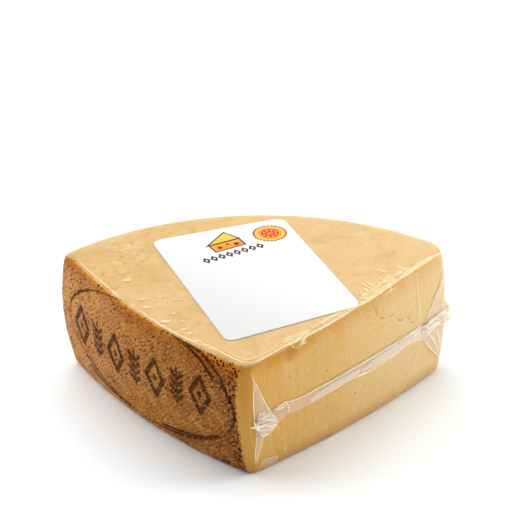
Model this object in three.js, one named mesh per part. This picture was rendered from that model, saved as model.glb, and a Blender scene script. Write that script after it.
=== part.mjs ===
// A quarter of a wheel of aged cheese, shrink-wrapped in clear film, with a paper label stuck on top.
//
// Millimetres, +Z up. The cheese lies on its flat lower face. Seen from above, its outline is a
// three-sided sector: the corner where the two near faces meet points towards -Y, the rind face
// runs away to the left of it, the cut face to the right, and the wheel's round rim closes the back.
// Every side bulges a little, the heel is fullest above its middle, all edges are rounded, and the
// corners lean a few millimetres, because the knife didn't run quite upright.
//
// The film is drawn tight over the whole piece, so its form is the cheese's own. What stands proud
// of it are the welded seam, which runs along the cut face at half height, and the two gathers
// where the spare film is folded together at the ends of that face.

import * as THREE from "three";
import { mergeVertices } from "three/addons/utils/BufferGeometryUtils.js";

// ---------------------------------------------------------------- driving dimensions

const HEIGHT = 80; // heel of the wheel, as it lies
const FULLEST_HEIGHT = 0.67 * HEIGHT; // where the sides reach out furthest

const RIND_FACE_LENGTH = 171; // chord from the front corner to the left corner, at half height
const CUT_FACE_LENGTH = 182; // chord from the front corner to the right corner, at half height
const CUT_FACE_TURN = 47.5; // degrees from +X to the cut face's chord
const CORNER_ANGLE = 82; // degrees between the two chords

// Each side is one long arc, seen from above. It draws in by its barrel over half a heel from its
// fullest height, and it is rounded into the flat top by its edge radius.
const RIND_FACE = { radius: 345, barrel: 4.6, topEdge: 2.5 };
const CUT_FACE = { radius: 640, barrel: 2.2, topEdge: 3 };
const RIM = { radius: 175, barrel: 3.2, topEdge: 10 };
const BOTTOM_EDGE_RADIUS = 3;

// Each corner's bend, and how far its top stands from its foot along X and Y.
const LEFT_CORNER = { bend: 5.5, lean: [2, -3.7] };
const FRONT_CORNER = { bend: 7.5, lean: [-0.4, -5.5] };
const RIGHT_CORNER = { bend: 14, lean: [-4.3, 7.2] };
const LEAST_BEND = 1;

const FILM_GAP = 0.3; // room between the cheese and whatever lies on it
const FILM_EDGE = 0.5; // thickness of loose film at its thin edges

const SEAM_START = 30.5; // distances along the cut face are measured from the front corner
const SEAM_END = 139.5;
const SEAM_THICKNESS = 0.7;
const SEAM_BEAD = 0.9; // the weld's rolled upper edge stands this much prouder

const LABEL_THICKNESS = 0.4;
const LABEL_CORNER_RADIUS = 6;

// The label's four corners on the flat top, from the front corner. It is a little wider at its
// near end, and lies askew.
const LABEL_CORNERS = [
  [-54.9, 137.6],
  [-9.9, 25.7],
  [67, 65.8],
  [22.1, 164.3],
];

// ---------------------------------------------------------------- the sector's outline

const TURN = 2 * Math.PI;

function towards(degrees, length) {
  const angle = THREE.MathUtils.degToRad(degrees);
  return new THREE.Vector2(length * Math.cos(angle), length * Math.sin(angle));
}

// The sides and corners in counter-clockwise order: corner n joins side n - 1 to side n. The
// corners' points are those at half height.
const SIDES = [RIND_FACE, CUT_FACE, RIM];
const CORNERS = [
  { ...LEFT_CORNER, point: towards(CUT_FACE_TURN + CORNER_ANGLE, RIND_FACE_LENGTH) },
  { ...FRONT_CORNER, point: new THREE.Vector2(0, 0) },
  { ...RIGHT_CORNER, point: towards(CUT_FACE_TURN, CUT_FACE_LENGTH) },
];

// Centre of the arc of the given radius that runs counter-clockwise from one corner to the next.
function arcCentre(from, to, radius) {
  const chord = to.clone().sub(from);
  const half = chord.length() / 2;
  const inward = new THREE.Vector2(-chord.y, chord.x).normalize();
  const middle = from.clone().add(to).multiplyScalar(0.5);
  return middle.addScaledVector(inward, Math.sqrt(radius * radius - half * half));
}

// How far a rounded edge of the given radius draws a side in, at a distance past where it starts.
function bendInset(radius, past) {
  return past > 0 ? radius - Math.sqrt(Math.max(radius ** 2 - past ** 2, 0)) : 0;
}

function edgeInset({ topEdge }, height) {
  return (
    bendInset(topEdge, height - (HEIGHT - topEdge)) +
    bendInset(BOTTOM_EDGE_RADIUS, BOTTOM_EDGE_RADIUS - height)
  );
}

// Where two circles meet, on the side of the given point.
function circlesMeet(a, radiusA, b, radiusB, near) {
  const apart = b.clone().sub(a);
  const distance = apart.length();
  const along = (radiusA ** 2 - radiusB ** 2 + distance ** 2) / (2 * distance);
  const across = Math.sqrt(Math.max(radiusA ** 2 - along ** 2, 0));
  apart.normalize();
  const foot = a.clone().addScaledVector(apart, along);
  const normal = new THREE.Vector2(-apart.y, apart.x);
  const one = foot.clone().addScaledVector(normal, across);
  const other = foot.clone().addScaledVector(normal, -across);
  return one.distanceTo(near) < other.distanceTo(near) ? one : other;
}

// The end of an arc, one turn on where it would otherwise come before the arc's start.
function endAfter(start, end) {
  return end < start ? end + TURN : end;
}

// The outline at one height: six arcs, each corner's followed by that of the side after it.
function outlineAt(height) {
  const rise = height / HEIGHT - 0.5;
  const away = (height - FULLEST_HEIGHT) / (HEIGHT / 2);
  const points = CORNERS.map(({ point, lean }) =>
    point.clone().addScaledVector(new THREE.Vector2(...lean), rise),
  );
  const insets = SIDES.map((side) => edgeInset(side, height));
  const sides = SIDES.map(({ radius, barrel }, n) => ({
    centre: arcCentre(points[n], points[(n + 1) % 3], radius),
    radius: radius - insets[n] - barrel * away * away,
  }));
  const bends = CORNERS.map(({ bend }, n) => {
    const before = sides[(n + 2) % 3];
    const after = sides[n];
    const inset = (insets[(n + 2) % 3] + insets[n]) / 2;
    const radius = Math.max(bend - inset, LEAST_BEND);
    const centre = circlesMeet(
      before.centre,
      before.radius - radius,
      after.centre,
      after.radius - radius,
      points[n],
    );
    const start = centre.clone().sub(before.centre).angle();
    const end = centre.clone().sub(after.centre).angle();
    return { centre, radius, start, end: endAfter(start, end) };
  });
  return sides.flatMap((side, n) => {
    const start = bends[n].end % TURN;
    const end = bends[(n + 1) % 3].start % TURN;
    return [bends[n], { ...side, start, end: endAfter(start, end) }];
  });
}

function pointOnArc(arc, fraction, height, lift) {
  const angle = arc.start + (arc.end - arc.start) * fraction;
  const reach = arc.radius + lift;
  return new THREE.Vector3(
    arc.centre.x + reach * Math.cos(angle),
    arc.centre.y + reach * Math.sin(angle),
    height,
  );
}

// ---------------------------------------------------------------- places on the sides

const FULLEST_OUTLINE = outlineAt(FULLEST_HEIGHT);
const ARC_LENGTHS = FULLEST_OUTLINE.map(({ radius, start, end }) => radius * (end - start));
const TO_FRONT_CORNER = ARC_LENGTHS[0] + ARC_LENGTHS[1] + ARC_LENGTHS[2] / 2;

// A point beside the cheese: so far along from the middle of the front corner's bend, to the
// right along the cut face, at a height, and lifted off the surface.
function besideCheese(distance, height, lift) {
  let rest = distance + TO_FRONT_CORNER;
  let arc = 0;
  while (rest > ARC_LENGTHS[arc]) {
    rest -= ARC_LENGTHS[arc];
    arc += 1;
  }
  return pointOnArc(outlineAt(height)[arc], rest / ARC_LENGTHS[arc], height, lift);
}

// ---------------------------------------------------------------- closed bodies

function bodyOf(points, triangles) {
  const geometry = new THREE.BufferGeometry().setFromPoints(points);
  geometry.setIndex(triangles);
  const merged = mergeVertices(geometry);
  merged.computeVertexNormals();
  return merged;
}

// Rings of equal length, lowest first and each counter-clockwise, joined and closed at both ends.
function loft(rings) {
  const count = rings[0].length;
  const triangles = [];
  for (let level = 0; level + 1 < rings.length; level += 1) {
    for (let n = 0; n < count; n += 1) {
      const here = level * count + n;
      const next = level * count + ((n + 1) % count);
      triangles.push(here, next, next + count, here, next + count, here + count);
    }
  }
  const points = rings.flat();
  const lowest = rings[0];
  const highest = rings[rings.length - 1];
  const topStart = (rings.length - 1) * count;
  const middleOf = (ring) =>
    ring.reduce((sum, point) => sum.add(point), new THREE.Vector3()).divideScalar(count);
  const bottomMiddle = points.push(middleOf(lowest)) - 1;
  const topMiddle = points.push(middleOf(highest)) - 1;
  for (let n = 0; n < count; n += 1) {
    const next = (n + 1) % count;
    triangles.push(bottomMiddle, next, n);
    triangles.push(topMiddle, topStart + n, topStart + next);
  }
  return bodyOf(points, triangles);
}

// A thin sheet between an outer and an inner face. Both are grids over rows and columns, with the
// rows running upwards and the columns to the right, seen from outside.
function sheet(rows, columns, outerPoint, innerPoint) {
  const width = columns + 1;
  const points = [];
  for (const place of [outerPoint, innerPoint]) {
    for (let row = 0; row <= rows; row += 1) {
      for (let column = 0; column <= columns; column += 1) points.push(place(row, column));
    }
  }
  const innerStart = width * (rows + 1);
  const triangles = [];
  const quad = (a, b, c, d) => triangles.push(a, b, c, a, c, d);
  for (let row = 0; row < rows; row += 1) {
    for (let column = 0; column < columns; column += 1) {
      const a = row * width + column;
      quad(a, a + 1, a + 1 + width, a + width);
      quad(innerStart + a, innerStart + a + width, innerStart + a + 1 + width, innerStart + a + 1);
    }
  }
  for (let column = 0; column < columns; column += 1) {
    const top = rows * width + column;
    quad(column + 1, column, innerStart + column, innerStart + column + 1);
    quad(top, top + 1, innerStart + top + 1, innerStart + top);
  }
  for (let row = 0; row < rows; row += 1) {
    const left = row * width;
    const right = left + columns;
    quad(left, left + width, innerStart + left + width, innerStart + left);
    quad(right + width, right, innerStart + right, innerStart + right + width);
  }
  return bodyOf(points, triangles);
}

// ---------------------------------------------------------------- the cheese

const CORNER_STEPS = [6, 8, 10];
const SIDE_STEPS = [32, 32, 42];
const WALL_STEPS = 8;
const TOP_EDGE_STEPS = 7;
const BOTTOM_EDGE_STEPS = 4;
const QUARTER_TURN = TURN / 4;

// The heights of the rings: even up the wall, and closer together round the edges. The rim's top
// edge is the deepest, so its rings serve the sharper edges of the other sides too.
function ringHeights() {
  const wallTop = HEIGHT - RIM.topEdge;
  const bottomEdge = Array.from({ length: BOTTOM_EDGE_STEPS }, (_, n) => {
    return BOTTOM_EDGE_RADIUS * (1 - Math.cos((QUARTER_TURN * n) / BOTTOM_EDGE_STEPS));
  });
  const wall = Array.from({ length: WALL_STEPS }, (_, n) => {
    return THREE.MathUtils.lerp(BOTTOM_EDGE_RADIUS, wallTop, n / WALL_STEPS);
  });
  const topEdge = Array.from({ length: TOP_EDGE_STEPS + 1 }, (_, n) => {
    return wallTop + RIM.topEdge * Math.sin((QUARTER_TURN * n) / TOP_EDGE_STEPS);
  });
  return [...bottomEdge, ...wall, ...topEdge];
}

function ringAt(height) {
  return outlineAt(height).flatMap((arc, n) => {
    const steps = n % 2 === 0 ? CORNER_STEPS[n / 2] : SIDE_STEPS[(n - 1) / 2];
    return Array.from({ length: steps }, (_, step) => pointOnArc(arc, step / steps, height, 0));
  });
}

function cheeseGeometry() {
  return loft(ringHeights().map(ringAt));
}

// ---------------------------------------------------------------- the film's seam and gathers

// A value read off a short list of [place, value] stops, in a straight line between them.
function between(stops, place) {
  const after = stops.findIndex(([at]) => at >= place);
  if (after === 0) return stops[0][1];
  if (after === -1) return stops[stops.length - 1][1];
  const [fromPlace, fromValue] = stops[after - 1];
  const [toPlace, toValue] = stops[after];
  return THREE.MathUtils.mapLinear(place, fromPlace, toPlace, fromValue, toValue);
}

// The seam's lower and upper edge, by distance along the cut face.
const SEAM_BOTTOM = [
  [SEAM_START, 34.4],
  [58, 35.5],
  [79, 36.3],
  [101, 33.7],
  [SEAM_END, 33.4],
];
const SEAM_TOP = [
  [SEAM_START, 41.8],
  [79, 43.2],
  [SEAM_END, 43.3],
];
const SEAM_ROWS = 4;
const SEAM_STEP = 3.5;

function seamGeometry() {
  const columns = Math.round((SEAM_END - SEAM_START) / SEAM_STEP);
  const place = (row, column, lift) => {
    const distance = THREE.MathUtils.lerp(SEAM_START, SEAM_END, column / columns);
    const bottom = between(SEAM_BOTTOM, distance);
    const top = between(SEAM_TOP, distance);
    return besideCheese(distance, THREE.MathUtils.lerp(bottom, top, row / SEAM_ROWS), lift);
  };
  const bead = (row) => (row === SEAM_ROWS - 1 ? SEAM_BEAD : 0);
  return sheet(
    SEAM_ROWS,
    columns,
    (row, column) => place(row, column, FILM_GAP + SEAM_THICKNESS + bead(row)),
    (row, column) => place(row, column, FILM_GAP),
  );
}

// A gather is a web of film drawn to a point above and below, with a crumpled knot across its
// middle. Its left and right edges are given by height, as distances along the face.
const FRONT_GATHER = {
  bottom: 10,
  top: 69,
  left: [[10, 2.8], [25, 6.6], [33, 5.8], [37.5, 4], [41, 5.4], [69, 4.6]],
  right: [[10, 4.4], [25, 9.6], [29, 11], [33.5, 22], [35, 28.4], [44, 29.4], [46, 16.4], [69, 6.2]],
  knot: { distance: 9.5, height: 36, length: 9, reach: 6, thickness: 3.2 },
  rows: 24,
  columns: 10,
};
const RIGHT_GATHER = {
  bottom: 7,
  top: 67,
  left: [[7, 174.5], [21, 161.7], [31, 150.8], [34, 141], [43, 141], [45, 149.6], [61, 164.9], [67, 176]],
  right: [[7, 178], [30, 184], [39, 188], [50, 184], [67, 180]],
  knot: { distance: 176, height: 39, length: 10, reach: 6, thickness: 4.2 },
  rows: 24,
  columns: 16,
};
const PLEAT_PITCH = 2.6; // distance from one fold of a knot to the next
const PLEAT_DEPTH = 0.5; // share of the knot's thickness that its folds take

// A knot swells smoothly towards its middle and is pleated across its length.
function knotThickness(knot, distance, height) {
  const along = (distance - knot.distance) / knot.length;
  const across = (height - knot.height) / knot.reach;
  const swell = Math.exp(-along * along - across * across);
  const pleat = 0.5 + 0.5 * Math.cos((TURN * (distance - knot.distance)) / PLEAT_PITCH);
  return knot.thickness * swell * (1 - PLEAT_DEPTH * pleat);
}

function gatherGeometry({ bottom, top, left, right, knot, rows, columns }) {
  const place = (row, column, lifted) => {
    const height = THREE.MathUtils.lerp(bottom, top, row / rows);
    const distance = THREE.MathUtils.lerp(between(left, height), between(right, height), column / columns);
    const thickness = FILM_EDGE + knotThickness(knot, distance, height);
    return besideCheese(distance, height, FILM_GAP + (lifted ? thickness : 0));
  };
  return sheet(
    rows,
    columns,
    (row, column) => place(row, column, true),
    (row, column) => place(row, column, false),
  );
}

// ---------------------------------------------------------------- the label

// A polygon, given counter-clockwise, with every corner rounded by an arc between the outward
// normals of the two edges that meet there.
function roundedPolygon(corners, radius) {
  const shape = new THREE.Shape();
  corners.forEach((corner, n) => {
    const toPrevious = corners[(n + corners.length - 1) % corners.length].clone().sub(corner).normalize();
    const toNext = corners[(n + 1) % corners.length].clone().sub(corner).normalize();
    const halfAngle = Math.acos(toPrevious.dot(toNext)) / 2;
    const inward = toPrevious.clone().add(toNext).normalize();
    const centre = corner.clone().addScaledVector(inward, radius / Math.sin(halfAngle));
    const start = Math.atan2(toPrevious.x, -toPrevious.y);
    const end = Math.atan2(-toNext.x, toNext.y);
    shape.absarc(centre.x, centre.y, radius, start, end, false);
  });
  shape.closePath();
  return shape;
}

function labelGeometry() {
  const corners = LABEL_CORNERS.map(([x, y]) => new THREE.Vector2(x, y));
  const outline = roundedPolygon(corners, LABEL_CORNER_RADIUS);
  return new THREE.ExtrudeGeometry(outline, {
    depth: LABEL_THICKNESS,
    bevelEnabled: false,
    curveSegments: 8,
  });
}

// ---------------------------------------------------------------- the object

const CHEESE = new THREE.MeshStandardMaterial({ color: 0xe3bd75, roughness: 0.5 });
const FILM = new THREE.MeshStandardMaterial({ color: 0xeadcc8, roughness: 0.15 });
const PAPER = new THREE.MeshStandardMaterial({ color: 0xfafafa, roughness: 0.6 });

function piece(name, geometry, material) {
  const mesh = new THREE.Mesh(geometry, material);
  mesh.name = name;
  return mesh;
}

const object = new THREE.Group();
const label = piece("label", labelGeometry(), PAPER);
label.position.z = HEIGHT + FILM_GAP;
object.add(
  piece("cheese", cheeseGeometry(), CHEESE),
  label,
  piece("film_seam", seamGeometry(), FILM),
  piece("film_gather_front", gatherGeometry(FRONT_GATHER), FILM),
  piece("film_gather_right", gatherGeometry(RIGHT_GATHER), FILM),
);

// The object's reference point is the middle of its box, on the surface that it lies on.
const middle = new THREE.Box3().setFromObject(object).getCenter(new THREE.Vector3());
object.position.set(-middle.x, -middle.y, 0);

export default object;
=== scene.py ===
"""The looks of a quarter wheel of aged cheese in clear shrink film, with a paper label on top.

Everything is worked out in millimetres in the sector's own frame, with the front corner at the
origin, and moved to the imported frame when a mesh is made. Two coordinates name a place on the
skin: `around`, the distance from the front corner to the right along the fullest outline, and
`up`, the distance up the wall and over the rounded top edge. Places on the top are plain x and y.

A table writes a path on the skin as one row of numbers, the around and up of each point in turn,
and a fold of film as such a row with the fold's width in front.
"""

import math

import bpy
import numpy as np
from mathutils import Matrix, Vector, noise


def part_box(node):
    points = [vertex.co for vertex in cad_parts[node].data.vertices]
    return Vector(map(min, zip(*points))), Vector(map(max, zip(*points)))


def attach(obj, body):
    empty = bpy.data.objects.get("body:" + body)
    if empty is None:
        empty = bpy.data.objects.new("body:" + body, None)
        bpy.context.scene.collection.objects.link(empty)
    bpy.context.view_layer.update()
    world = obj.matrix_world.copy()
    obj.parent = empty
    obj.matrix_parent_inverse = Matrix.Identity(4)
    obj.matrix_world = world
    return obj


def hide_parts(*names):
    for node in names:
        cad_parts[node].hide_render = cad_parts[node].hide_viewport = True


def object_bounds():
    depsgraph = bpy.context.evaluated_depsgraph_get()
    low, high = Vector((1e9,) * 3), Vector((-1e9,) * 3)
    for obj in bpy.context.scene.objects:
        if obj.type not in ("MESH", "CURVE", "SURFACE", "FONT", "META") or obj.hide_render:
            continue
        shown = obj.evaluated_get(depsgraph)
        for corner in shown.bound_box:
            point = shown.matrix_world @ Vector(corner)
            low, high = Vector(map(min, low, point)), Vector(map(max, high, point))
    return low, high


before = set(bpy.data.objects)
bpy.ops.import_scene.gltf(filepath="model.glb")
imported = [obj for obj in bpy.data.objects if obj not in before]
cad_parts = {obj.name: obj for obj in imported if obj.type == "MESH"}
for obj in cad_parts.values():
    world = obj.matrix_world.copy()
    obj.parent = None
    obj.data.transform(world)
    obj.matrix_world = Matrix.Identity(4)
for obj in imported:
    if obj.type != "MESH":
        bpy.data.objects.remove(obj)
cad_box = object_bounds()

MM = 0.001
TURN = 2 * math.pi
QUARTER = math.pi / 2
CHEESE_LOW, CHEESE_HIGH = (np.array(corner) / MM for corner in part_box("cheese"))

# ---------------- driving dimensions

HEIGHT = CHEESE_HIGH[2] - CHEESE_LOW[2]
FULLEST_HEIGHT = 0.67 * HEIGHT
RIND_FACE_LENGTH = 171
CUT_FACE_LENGTH = 182
CUT_FACE_TURN = 47.5
CORNER_ANGLE = 82
LEAST_BEND = 1
BOTTOM_EDGE = 3

# The sides in order: rind face, cut face, rim. The corners: left, front, right.
SIDE_RADII = (345, 640, 175)
SIDE_BARRELS = (4.6, 2.2, 3.2)
TOP_EDGES = (2.5, 3, 10)
CORNER_BENDS = (5.5, 7.5, 14)
CORNER_LEANS = np.array([(2, -3.7), (-0.4, -5.5), (-4.3, 7.2)])

FILM_LIFT = 0.35

# ---------------- the sector's outline


def towards(degrees, length):
    angle = math.radians(degrees)
    return np.array([math.cos(angle), math.sin(angle)]) * length


CORNER_PLACES = (
    towards(CUT_FACE_TURN + CORNER_ANGLE, RIND_FACE_LENGTH),
    np.zeros(2),
    towards(CUT_FACE_TURN, CUT_FACE_LENGTH),
)


def length_of(vectors):
    return np.linalg.norm(vectors, axis=-1, keepdims=True)


def arc_centre(start, end, radius):
    """The centre of the arc from start to end that bulges to the right of its chord."""
    chord = end - start
    half = length_of(chord) / 2
    inward = np.stack([-chord[:, 1], chord[:, 0]], 1) / (2 * half)
    return (start + end) / 2 + inward * np.sqrt(radius**2 - half**2)


def bend_inset(radius, past):
    """How far a rounded edge has drawn back at a distance past where its rounding starts."""
    past = np.clip(past, 0, radius)
    return radius - np.sqrt(radius**2 - past**2)


def circles_meet(a, radius_a, b, radius_b, near):
    """Of the two points where the circles round a and b meet, the one nearer to a given point."""
    apart = b - a
    distance = length_of(apart)
    along = (radius_a**2 - radius_b**2 + distance**2) / (2 * distance)
    across = np.sqrt(np.maximum(radius_a**2 - along**2, 0))
    apart = apart / distance
    normal = np.stack([-apart[:, 1], apart[:, 0]], 1)
    foot = a + apart * along
    one = foot + normal * across
    other = foot - normal * across
    return np.where(length_of(one - near) < length_of(other - near), one, other)


def corner_arc(point, bend, before, after):
    """The arc that rounds a corner between two sides, which are given by their centre and reach."""
    centre = circles_meet(before[0], before[1] - bend, after[0], after[1] - bend, point)
    start, end = (
        np.arctan2(*(centre - side[0]).T[::-1]).reshape(-1, 1) % TURN for side in (before, after)
    )
    return np.hstack([centre, bend, start, end + TURN * (end < start)])


def outline(heights):
    """The six arcs of the outline at each height, a corner's before that of the side after it.
    Each arc is a row of centre x, centre y, radius, start angle and end angle."""
    heights = np.asarray(heights, float).reshape(-1, 1)
    rise = heights / HEIGHT - 0.5
    away = (heights - FULLEST_HEIGHT) / (HEIGHT / 2)
    points = [place + rise * lean for place, lean in zip(CORNER_PLACES, CORNER_LEANS)]
    foot_inset = bend_inset(BOTTOM_EDGE, BOTTOM_EDGE - heights)
    insets = [bend_inset(edge, heights - (HEIGHT - edge)) + foot_inset for edge in TOP_EDGES]
    sides = []
    for n, radius in enumerate(SIDE_RADII):
        centre = arc_centre(points[n], points[(n + 1) % 3], radius)
        sides.append((centre, radius - insets[n] - SIDE_BARRELS[n] * away**2))
    corners = []
    for n, bend in enumerate(CORNER_BENDS):
        bend = np.maximum(bend - (insets[n - 1] + insets[n]) / 2, LEAST_BEND)
        corners.append(corner_arc(points[n], bend, sides[n - 1], sides[n]))
    arcs = []
    for n in range(3):
        start = corners[n][:, 4:] % TURN
        end = corners[(n + 1) % 3][:, 3:4]
        arcs += [corners[n], np.hstack([*sides[n], start, end + TURN * (end < start)])]
    return np.stack(arcs, 1)


FULLEST = outline([FULLEST_HEIGHT])[0]
ARC_LENGTHS = FULLEST[:, 2] * (FULLEST[:, 4] - FULLEST[:, 3])
ARC_STARTS = np.concatenate([[0], np.cumsum(ARC_LENGTHS)])
WHOLE_ROUND = ARC_STARTS[-1]
TO_FRONT_CORNER = ARC_STARTS[2] + ARC_LENGTHS[2] / 2
# How deep the rounded top edge is where each arc starts and where the last one ends.
EDGES_AT_STARTS = [TOP_EDGES[n] for n in (2, 0, 0, 1, 1, 2, 2)]


def edge_at(around):
    return np.interp((around + TO_FRONT_CORNER) % WHOLE_ROUND, ARC_STARTS, EDGES_AT_STARTS)


def up_at(around, height):
    """The value of up at a height on the wall."""
    edge = edge_at(around)
    over = np.clip((height - HEIGHT) / edge + 1, 0, 1)
    return np.where(over > 0, HEIGHT - edge + edge * np.arcsin(over), height)


def skin(around, up, lift=0):
    """Points on the skin, lifted off it along its normal. The three are arrays of one shape."""
    around, up, lift = np.broadcast_arrays(np.asarray(around, float), up, lift)
    shape = around.shape
    around, up, lift = around.ravel(), up.ravel(), lift.ravel()
    distance = (around + TO_FRONT_CORNER) % WHOLE_ROUND
    arc = np.clip(np.searchsorted(ARC_STARTS, distance, side="right") - 1, 0, 5)
    share = (distance - ARC_STARTS[arc]) / ARC_LENGTHS[arc]
    edge = edge_at(around)
    over = up - (HEIGHT - edge)
    turn = np.clip(over / edge, 0, QUARTER)
    under = np.clip((BOTTOM_EDGE - up) / BOTTOM_EDGE, 0, 1) * QUARTER
    height = np.where(over > 0, HEIGHT - edge + edge * np.sin(turn), up)
    height = np.where(under > 0, BOTTOM_EDGE - BOTTOM_EDGE * np.sin(under), height)
    inward = np.maximum(over - edge * QUARTER, 0)
    centre_x, centre_y, radius, start, end = outline(height)[np.arange(len(arc)), arc].T
    angle = start + (end - start) * share
    reach = radius + lift * np.cos(turn) * np.cos(under) - inward
    z = height + lift * (np.sin(turn) - np.sin(under))
    points = np.stack([centre_x + reach * np.cos(angle), centre_y + reach * np.sin(angle), z], 1)
    return points.reshape(*shape, 3)


def on_top(x, y, lift=0):
    """Points on the top, also where it bends down past the edge of one of the two near faces."""
    drop = np.zeros_like(x)
    for n, edge in enumerate(TOP_EDGES[:2]):
        centre_x, centre_y, radius = outline([HEIGHT])[0][2 * n + 1][:3]
        past = np.hypot(x - centre_x, y - centre_y) - radius
        drop = np.maximum(drop, bend_inset(edge, past * 0.999))
    return np.stack([x, y, HEIGHT + lift - drop], -1)


SAMPLES = skin(*np.meshgrid(np.arange(0, WHOLE_ROUND, 1), np.arange(0, HEIGHT, 2)))
OFFSET = np.append(CHEESE_LOW[:2] - SAMPLES.reshape(-1, 3).min(0)[:2], CHEESE_LOW[2])

# ---------------- the camera, as in the photograph

PHOTO_SIZE = 512
PHOTO_SCALE = 0.58  # mm for each pixel, at the object
FOCAL_PIXELS = 4840
AIM_PIXEL = (253, 343)  # where the photograph shows the point AIM
AIM = OFFSET + (4.8, 89.5, 40.07)
CAMERA_ELEVATION = 30.97
SENSOR = 36


def add_camera():
    angle = math.radians(CAMERA_ELEVATION)
    forward = np.array([0, math.cos(angle), -math.sin(angle)])
    upward = np.array([0, math.sin(angle), math.cos(angle)])
    right = np.array([1, 0, 0])
    aside, below = (pixel - PHOTO_SIZE / 2 for pixel in AIM_PIXEL)
    place = AIM - forward * FOCAL_PIXELS * PHOTO_SCALE
    place = place - right * aside * PHOTO_SCALE + upward * below * PHOTO_SCALE
    data = bpy.data.cameras.new("camera")
    data.sensor_width = SENSOR
    data.lens = FOCAL_PIXELS / PHOTO_SIZE * SENSOR
    data.clip_end = 50
    camera = add_object("camera", data)
    camera.location = place * MM
    camera.rotation_euler = (QUARTER - angle, 0, 0)
    bpy.context.scene.camera = camera


# ---------------- node arithmetic


def operation(kind):
    return lambda self, *others: new_field(self.tree, "Math", (self, *others), operation=kind)


class Field:
    """A number, vector or colour that varies over a surface: one output of a shader node."""

    __add__ = operation("ADD")
    __sub__ = operation("SUBTRACT")
    __mul__ = operation("MULTIPLY")
    __truediv__ = operation("DIVIDE")
    least = operation("MINIMUM")
    most = operation("MAXIMUM")
    size = operation("ABSOLUTE")
    root = operation("SQRT")
    sine = operation("SINE")
    bearing = operation("ARCTAN2")

    def __init__(self, tree, socket):
        self.tree = tree
        self.socket = socket

    def fade(self, start, end, low=0, high=1):
        """Goes smoothly from low, where the number is start or before, to high, where it is end."""
        entries = (self, start, end, low, high)
        return new_field(self.tree, "MapRange", entries, interpolation_type="SMOOTHSTEP")


def join(tree, value, entry):
    if isinstance(value, Field):
        tree.links.new(value.socket, entry)
    else:
        entry.default_value = value


def add_node(tree, kind, entries=(), **settings):
    """A new shader node. The entries are values or Fields, in order, or by name or number."""
    node = tree.nodes.new("ShaderNode" + kind)
    for name, value in settings.items():
        setattr(node, name, value)
    named = entries if isinstance(entries, dict) else dict(enumerate(entries))
    for name, value in named.items():
        join(tree, value, node.inputs[name])
    return node


def new_field(tree, kind, entries=(), output=0, **settings):
    return Field(tree, add_node(tree, kind, entries, **settings).outputs[output])


def mix(share, first, second):
    """The first colour where the share is 0, and the second where it is 1."""
    entries = {0: share, 6: first, 7: second}  # the colour sockets have numbers 6, 7 and 2
    return new_field(share.tree, "Mix", entries, 2, data_type="RGBA")


def blend(number, start, end, colours):
    """Goes through the colours, evenly spaced, as the number goes from start to end."""
    node = add_node(number.tree, "ValToRGB", [(number - start) / (end - start)])
    steps = node.color_ramp.elements
    for _ in colours[2:]:
        steps.new(0.5)
    for n, colour in enumerate(colours):
        steps[n].position = n / (len(colours) - 1)
        steps[n].color = colour
    return Field(number.tree, node.outputs[0])


def combine(x, y, z):
    return new_field(x.tree, "CombineXYZ", (x, y, z))


def separate(vector):
    node = add_node(vector.tree, "SeparateXYZ", [vector])
    return [Field(vector.tree, socket) for socket in node.outputs]


def cloud(vector, size, detail=2, rough=0.5, warp=0):
    """Smooth noise from 0 to 1 with lumps of the given size, in the vector's own unit."""
    names = ("Vector", "Scale", "Detail", "Roughness", "Distortion")
    values = (vector, 1 / size, detail, rough, warp)
    return new_field(vector.tree, "TexNoise", dict(zip(names, values)))


def cell_distance(vector, size):
    """The distance to the nearest of scattered points, in cells of the given size."""
    return new_field(vector.tree, "TexVoronoi", {"Vector": vector, "Scale": 1 / size}, "Distance")


def bump(height, depth):
    """A normal from a relief whose height runs from 0 to 1 over the given depth in mm."""
    return new_field(height.tree, "Bump", {"Distance": depth * MM, "Height": height})


def attribute(tree, name):
    return new_field(tree, "Attribute", output="Fac", attribute_name=name)


def place_in_mm(tree):
    place = new_field(tree, "TexCoord", output="Object")
    return new_field(tree, "VectorMath", {0: place, "Scale": 1 / MM}, operation="SCALE")


def place_on_map(tree, name):
    return new_field(tree, "UVMap", uv_map=name)


def srgb(red, green, blue):
    """A colour from its values on a screen, 0 to 255."""
    shares = (value / 255 for value in (red, green, blue))
    return (*(s / 12.92 if s <= 0.04045 else ((s + 0.055) / 1.055) ** 2.4 for s in shares), 1)


def new_material(name, **values):
    """A material with one Principled shader, and that shader and its tree. Spaces in the names of
    the shader's entries are written as underscores."""
    material = bpy.data.materials.new(name)
    material.use_nodes = True
    tree = material.node_tree
    shader = tree.nodes["Principled BSDF"]
    for entry, value in values.items():
        shader.inputs[entry.replace("_", " ")].default_value = value
    return material, tree, shader


# ---------------- the cheese's material

TOP_CREAM = srgb(209, 174, 121)
TOP_DEEP = srgb(190, 148, 90)
TOP_PALE = srgb(217, 185, 134)
TOP_LIGHT = srgb(220, 190, 144)
TOP_FRECKLE = srgb(184, 136, 80)
TOP_SPECK = srgb(160, 100, 56)
CUT_GOLD_AND_SHADE = srgb(215, 165, 86)
CUT_PALE = srgb(222, 191, 140)
CUT_AMBER = srgb(204, 138, 44)
CUT_BROWN = srgb(176, 112, 40)
CUT_FOOT = srgb(176, 122, 58)
CUT_HOLE = srgb(178, 116, 46)
# The rind's tones from left to right, with painted light at the left and painted shade at the right.
RIND_TONES_AND_SHADE = (srgb(194, 138, 92), srgb(168, 110, 50), srgb(121, 65, 26))
RIND_RED = srgb(140, 72, 34)
RIND_GOLD = srgb(196, 142, 66)
RIND_LIGHT = srgb(220, 168, 100)
RIND_DARK = srgb(72, 28, 4)
RIND_PIT = srgb(44, 12, 2)
AMBER = (srgb(214, 151, 46), srgb(178, 100, 18), srgb(134, 64, 16))
STAMP_BROWN = srgb(46, 14, 5)

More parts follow.
